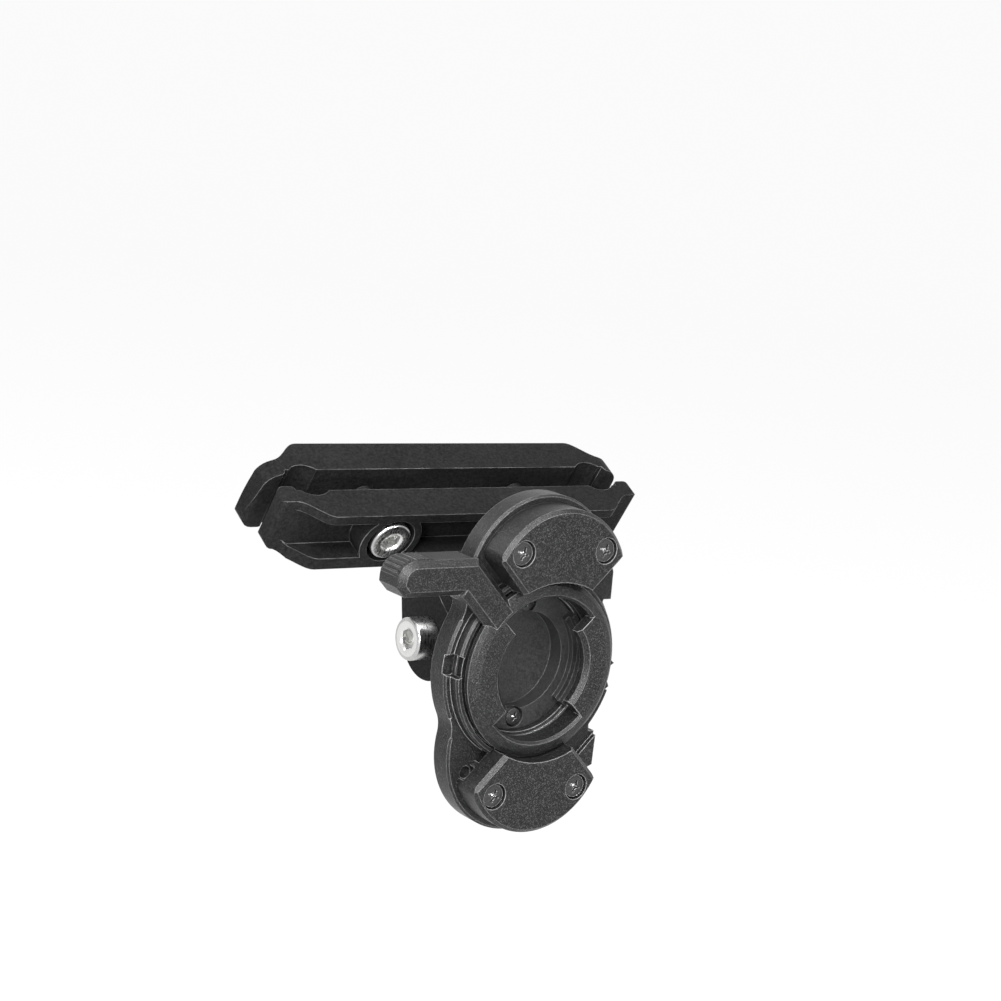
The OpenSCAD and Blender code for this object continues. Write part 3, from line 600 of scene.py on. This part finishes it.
def crossHead(kind, look):
    # rings from the middle of the head outwards: a low dome with a tapering cross cut in it
    headRadius = kind["headRadius"]
    turn = math.radians(look["turn"])

    def ring(radius):
        def place(angle):
            x = abs(radius * math.cos(angle - turn))
            y = abs(radius * math.sin(angle - turn))
            taper = 1 - max(x, y) / kind["arm"]
            inward = max(taper, 0)
            wide = kind["armWide"] / 2 * (look["tipWide"] + look["flare"] * inward)
            core = held((look["core"] * kind["arm"] - (x + y)) / look["wall"]) * look["coreDeep"]
            arm = held((wide - min(x, y)) / look["wall"]) * held(taper * look["tipSlope"])
            cut = max(arm, core) * kind["deep"] * (look["tipDeep"] + (1 - look["tipDeep"]) * inward)
            return (radius, look["crown"] * (radius / headRadius) ** 2 + cut)
        return place

    inner = [ring(headRadius * look["face"] * (i + 0.5) / look["rings"]) for i in range(look["rings"])]
    edge = roundedEdge(headRadius, look["rimHeight"], look["rimBend"], False)[::-1]
    return inner + edge[1:]


def crossScrew(name, node, kind, body):
    look = screwLook
    size = look[kind]
    frameOf, length = seat(node, (0, 1, 0))
    work = bmesh.new()
    outer, tall, under = size["headRadius"], size["headHeight"], look["under"]
    turned = crossHead(size, look) + [plainRing(outer, tall - under), plainRing(outer - under, tall)]
    turnedShell(work, turned, look["steps"])
    thread = size["threadRadius"]
    shank = threadRings(thread, thread * 0.76, look["pitch"], tall - 0.2, length - 0.2, look["perTurn"])
    shank += [plainRing(thread * 0.7, length - 0.1), plainRing(thread * 0.5, length)]
    turnedShell(work, shank, look["shankSteps"])
    return addPiece(name, work, "screw_black", body, node, frameOf)


for place in ("top_screw_left", "top_screw_right", "bottom_screw_left", "bottom_screw_right"):
    crossScrew("crossHead_" + place, place, "capScrew", "head")
for place in ("cup_screw_top", "cup_screw_bottom"):
    crossScrew("crossHead_" + place, place, "cupScrew", "head")
print("cross-head screws made")

nutLook = {"across": 7.0, "bore": 1.96, "mouth": 0.35, "chamfer": 30, "flatShare": 0.97, "steps": 96}


def hexNut(name, node, body):
    look = nutLook
    frameOf, length = seat(node, (1, 0, 0))
    flatRadius = look["across"] / 2 * look["flatShare"]
    slope = math.tan(math.radians(look["chamfer"]))
    # the hexagon's flats face the same way as the node's
    points = [frameOf.inverted() @ p for p in nodePoints(node)]
    far = max(points, key=lambda p: math.hypot(p.x, p.y))
    lean = math.atan2(far.y, far.x) - math.pi / 6

    def side(top):
        def place(angle):
            radius = hexRadius(angle - lean, look["across"])
            drop = (radius - flatRadius) * slope
            return (radius, length - drop if top else drop)
        return place

    work = bmesh.new()
    bore, mouth = look["bore"], look["mouth"]
    turned = [plainRing(bore, mouth), plainRing(bore + mouth, 0), plainRing(flatRadius, 0), side(False)]
    turned += [side(True), plainRing(flatRadius, length), plainRing(bore + mouth, length)]
    turned += [plainRing(bore, length - mouth), plainRing(bore, mouth)]
    turnedShell(work, turned, look["steps"], False, False)
    bmesh.ops.remove_doubles(work, verts=work.verts, dist=weldDistance)
    return addPiece(name, work, "washer_steel", body, node, frameOf)


hexNut("tiltNut", "pivot_nut", "clamp")

washerLook = {"outer": 4.0, "inner": 2.16, "bend": 0.12, "steps": 96}


def roundWasher(name, node, axis, body):
    look = washerLook
    frameOf, thick = seat(node, axis)
    work = bmesh.new()
    outer, inner, bend = look["outer"], look["inner"], look["bend"]
    turned = [plainRing(outer - bend, 0), plainRing(outer, bend)]
    turned += roundedEdge(outer, thick, bend, True) + roundedEdge(inner, thick, -bend, True)[::-1]
    turned += [plainRing(inner, bend), plainRing(inner + bend, 0), plainRing(outer - bend, 0)]
    turnedShell(work, turned, look["steps"], False, False)
    bmesh.ops.remove_doubles(work, verts=work.verts, dist=weldDistance)
    return addPiece(name, work, "washer_steel", body, node, frameOf)


roundWasher("boltWasherLeft", "clamp_washer_left", clampWay, "clamp")
roundWasher("boltWasherRight", "clamp_washer_right", clampWay, "clamp")
print("nut and washers made")


# CAD nodes that stay: their record slot gives the finish, and their sharp edges are eased

easing = {
    "width": {
        "head_black": 0.16, "clamp_bar": 0.16, "cup_black": 0.1,
        "washer_steel": 0.06, "slide_plastic": 0.05},
    "steps": 2, "flat": 0.6, "sharp": 28, "weight": 80}


def easeEdges(piece, width):
    flatten = piece.modifiers.new("flatten", "DECIMATE")
    flatten.decimate_type = "DISSOLVE"
    flatten.angle_limit = math.radians(easing["flat"])
    ease = piece.modifiers.new("ease", "BEVEL")
    ease.width = width * mm
    ease.segments = easing["steps"]
    ease.limit_method = "ANGLE"
    ease.angle_limit = math.radians(easing["sharp"])
    ease.miter_outer = "MITER_ARC"
    ease.harden_normals = False
    shade = piece.modifiers.new("shade", "WEIGHTED_NORMAL")
    shade.keep_sharp = True
    shade.weight = easing["weight"]


slotOf = {s["node"]: s["material_slot"] for s in frame["record"]["subparts"]}
for name, piece in nodes.items():
    piece.data.materials.clear()
    piece.data.materials.append(finishes[slotOf[name]])
    for polygon in piece.data.polygons:
        polygon.use_smooth = True
    if slotOf[name] in easing["width"]:
        easeEdges(piece, easing["width"][slotOf[name]])
print("CAD nodes dressed", len(nodes))


# Camera, floor and lamps

cameraLook = {
    "right": (0.7957, -0.5941, 0.1177), "back": (-0.6054, -0.7747, 0.1825),
    "place": (-212.62, -263.33, 87.66), "lens": 79.12, "sensor": 36, "near": 10}


def setCamera():
    look = cameraLook
    data = bpy.data.cameras.new("viewer")
    data.lens = look["lens"]
    data.sensor_width = look["sensor"]
    data.clip_start = look["near"] * mm
    viewer = bpy.data.objects.new("viewer", data)
    bpy.context.scene.collection.objects.link(viewer)
    back = Vector(look["back"]).normalized()
    right = Vector(look["right"])
    right = (right - back * back.dot(right)).normalized()
    turned = Matrix((right, back.cross(right), back)).transposed()
    viewer.matrix_world = Matrix.Translation(Vector(look["place"]) * mm) @ turned.to_4x4()
    bpy.context.scene.camera = viewer


setCamera()

white = (1, 1, 1, 1)

# The floor is a wide disc whose rim curves up past the horizon, in millimetres
floorLook = {
    "height": -62, "hub": 26, "flat": 1300, "rim": 2100, "rise": 460, "rimSteps": 4, "steps": 96,
    "tone": 0.86, "shown": 1.0, "share": 0.93}


def paleFloor():
    # glows white where it is seen, apart from a small matte share that takes the object's shadow
    look = floorLook
    f = newFinish("paleFloor")
    matte = f.node("ShaderNodeBsdfDiffuse", None, {"Color": (*grey(look["tone"]), 1)})
    glow = f.node("ShaderNodeEmission", None, {"Color": white, "Strength": look["shown"]})
    both = f.node("ShaderNodeMixShader", None, {0: f.seen() * look["share"], 1: matte, 2: glow})
    f.close(both, "ShaderNodeOutputMaterial")
    return f.owner


def layFloor():
    look = floorLook
    flat, rim = look["flat"], look["rim"]
    profile = [(look["hub"], 0), (flat, 0)]
    for step in range(look["rimSteps"]):
        u = (step + 1) / look["rimSteps"]
        profile.append((flat + (rim - flat) * u, look["rise"] * u * u))
    work = bmesh.new()
    turnedShell(work, [plainRing(r, h + look["height"]) for r, h in profile], look["steps"], True, False)
    newPiece("floor", work, paleFloor())


layFloor()

worldLook = {"lit": 0.35, "shown": 1.0}


def paleRoom():
    # white where it is seen, and dimmer as light on the object
    f = Finish(bpy.data.worlds.new("paleRoom"))
    lit = f.node("ShaderNodeBackground", None, {"Color": white, "Strength": worldLook["lit"]})
    shown = f.node("ShaderNodeBackground", None, {"Color": white, "Strength": worldLook["shown"]})
    f.close(f.node("ShaderNodeMixShader", None, {0: f.seen(), 1: lit, 2: shown}), "ShaderNodeOutputWorld")
    return f.owner


bpy.context.scene.world = paleRoom()

# place and aim in millimetres, size across in millimetres, power in watts
lamps = {
    "key": {"place": (-250, -310, 400), "aim": (0, 0, 0), "size": 230, "power": 5.8},
    "side": {"place": (-400, -340, 120), "aim": (0, 0, 0), "size": 150, "power": 3.2},
    "top": {"place": (90, -200, 520), "aim": (0, 0, 0), "size": 200, "power": 2.4},
    "front": {"place": (-90, -430, -70), "aim": (0, 0, 0), "size": 120, "power": 2.6},
    "brow": {"place": (125, -420, 220), "aim": (0, 0, 0), "size": 100, "power": 0.8},
    "rim": {"place": (-260, 260, 300), "aim": (0, 10, 0), "size": 200, "power": 0.8}}


def hangLamp(name, lamp):
    data = bpy.data.lights.new(name, "AREA")
    data.shape = "DISK"
    data.size = lamp["size"] * mm
    data.energy = lamp["power"]
    light = bpy.data.objects.new(name, data)
    bpy.context.scene.collection.objects.link(light)
    place = Vector(lamp["place"])
    light.location = place * mm
    light.rotation_mode = "QUATERNION"
    light.rotation_quaternion = (Vector(lamp["aim"]) - place).to_track_quat("-Z", "Y")


for name, lamp in lamps.items():
    hangLamp(name, lamp)
bpy.context.scene.view_settings.view_transform = "Standard"
print("camera and lamps set")
